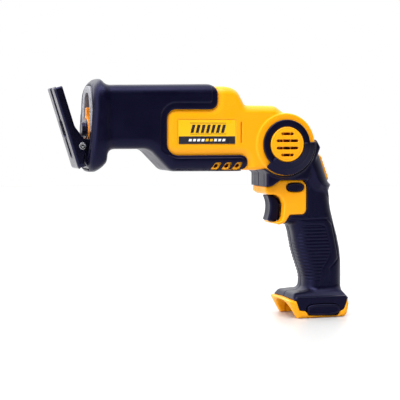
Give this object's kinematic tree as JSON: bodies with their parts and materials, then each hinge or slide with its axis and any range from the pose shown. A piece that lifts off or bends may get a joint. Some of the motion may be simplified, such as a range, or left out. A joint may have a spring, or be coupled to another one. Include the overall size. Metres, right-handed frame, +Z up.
{
  "type": "reciprocating saw",
  "caption": "Compact cordless reciprocating saw with a folding grip handle, a pivoting slotted shoe, a rubber-booted nose and an open battery foot.",
  "frame": {"origin": "middle of the flat underside of the battery foot's rear wall", "axes": "+Z up along the upright saw, -X towards the blade end, -Y towards the saw's left side"},
  "size_m": [0.3049, 0.068, 0.2407],
  "materials": {
    "yellow_abs": "moulded, fine satin grain",
    "black_rubber": "overmoulded, matt",
    "black_nylon": "glass-filled, satin",
    "grey_nylon": "satin",
    "label_black": "printed film",
    "screw_steel": "black oxide",
    "bright_steel": "ground",
    "black_steel": "black plated",
    "orange_steel": "coated",
    "cast_metal": "die cast",
    "bronze": "sintered",
    "copper": "turned",
    "magnet_grey": "ferrite",
    "red_cover": "wire cover"
  },
  "bodies": {
    "saw_body": {"housing_left": "yellow_abs", "housing_right": "yellow_abs", "nose_boot": "black_rubber", "nose_bezel": "grey_nylon", "gear_case": "cast_metal", "gear_case_cover": "cast_metal", "front_bushing": "bronze", "rear_bushing": "bronze", "crank_bearing": "bright_steel", "shoe_bracket": "black_steel", "shoe_pivot_pin": "bright_steel", "motor_can": "bright_steel", "magnet_upper": "magnet_grey", "magnet_lower": "magnet_grey", "motor_end_bell": "black_nylon", "vent_cover_left": "yellow_abs", "vent_cover_right": "yellow_abs", "label_plate_left": "label_black", "label_plate_right": "label_black", "housing_screw_1": "screw_steel", "housing_screw_2": "screw_steel", "housing_screw_3": "screw_steel", "housing_screw_4": "screw_steel"},
    "shoe": {"shoe": "black_steel"},
    "plunger": {"plunger_shaft": "bright_steel", "scotch_yoke": "bright_steel", "blade_clamp": "black_steel"},
    "clamp_lever": {"clamp_lever": "orange_steel"},
    "crank": {"crank_gear": "bright_steel", "crank_roller": "bronze"},
    "rotor": {"motor_shaft": "bright_steel", "motor_pinion": "bright_steel", "motor_rotor": "copper", "commutator": "copper", "cooling_fan": "black_nylon"},
    "handle": {"handle_left": "yellow_abs", "handle_right": "yellow_abs", "grip_left": "black_rubber", "grip_right": "black_rubber", "handle_screw_1": "screw_steel", "handle_screw_2": "screw_steel", "handle_screw_3": "screw_steel", "foot_pad_left": "black_rubber", "foot_pad_right": "black_rubber", "terminal_block": "black_nylon", "contact_minus": "copper", "contact_plus": "copper", "switch_body": "black_nylon", "lead_red": "red_cover", "lead_black": "black_nylon", "release_bezel": "yellow_abs", "trigger_spring": "bright_steel", "release_spring": "bright_steel"},
    "trigger": {"trigger": "black_nylon"},
    "lock_off": {"lock_off_button": "black_nylon"},
    "release": {"release_button": "black_nylon", "pivot_latch": "bright_steel"}
  },
  "joints": [
    {"name": "handle_fold", "type": "hinge", "parent": "saw_body", "child": "handle", "pos_m": [-0.062, 0, 0.1756], "axis": [0, -1, 0], "range_deg": [0, 75]},
    {"name": "shoe_tilt", "type": "hinge", "parent": "saw_body", "child": "shoe", "pos_m": [-0.2654, 0, 0.1749], "axis": [0, 1, 0], "range_deg": [0, 20]},
    {"name": "plunger_stroke", "type": "slide", "parent": "saw_body", "child": "plunger", "axis": [1, 0, 0], "range_m": [-0.00715, 0.00715]},
    {"name": "clamp_turn", "type": "hinge", "parent": "plunger", "child": "clamp_lever", "pos_m": [-0.257, 0, 0.1911], "axis": [1, 0, 0], "range_deg": [0, 25], "stiffness_Nm_per_rad": 0.02},
    {"name": "crank_spin", "type": "hinge", "parent": "saw_body", "child": "crank", "pos_m": [-0.1875, 0, 0.1836], "axis": [0, 0, 1], "continuous": true},
    {"name": "motor_spin", "type": "hinge", "parent": "saw_body", "child": "rotor", "pos_m": [-0.137, 0, 0.1911], "axis": [1, 0, 0], "continuous": true},
    {"name": "trigger_pull", "type": "slide", "parent": "handle", "child": "trigger", "axis": [1, 0, 0], "range_m": [0, 0.0055], "stiffness_N_per_m": 700, "springref_m": -0.004, "deforming": ["trigger_spring"]},
    {"name": "lock_off_push", "type": "slide", "parent": "handle", "child": "lock_off", "axis": [0, 1, 0], "range_m": [0, 0.0035]},
    {"name": "release_push", "type": "slide", "parent": "handle", "child": "release", "axis": [-0.9373, 0, -0.3486], "range_m": [0, 0.003], "stiffness_N_per_m": 900, "springref_m": -0.003, "deforming": ["release_spring"]}
  ],
  "couplings": [
    {"joint": "motor_spin", "follows": "crank_spin", "ratio": 4}
  ]
}
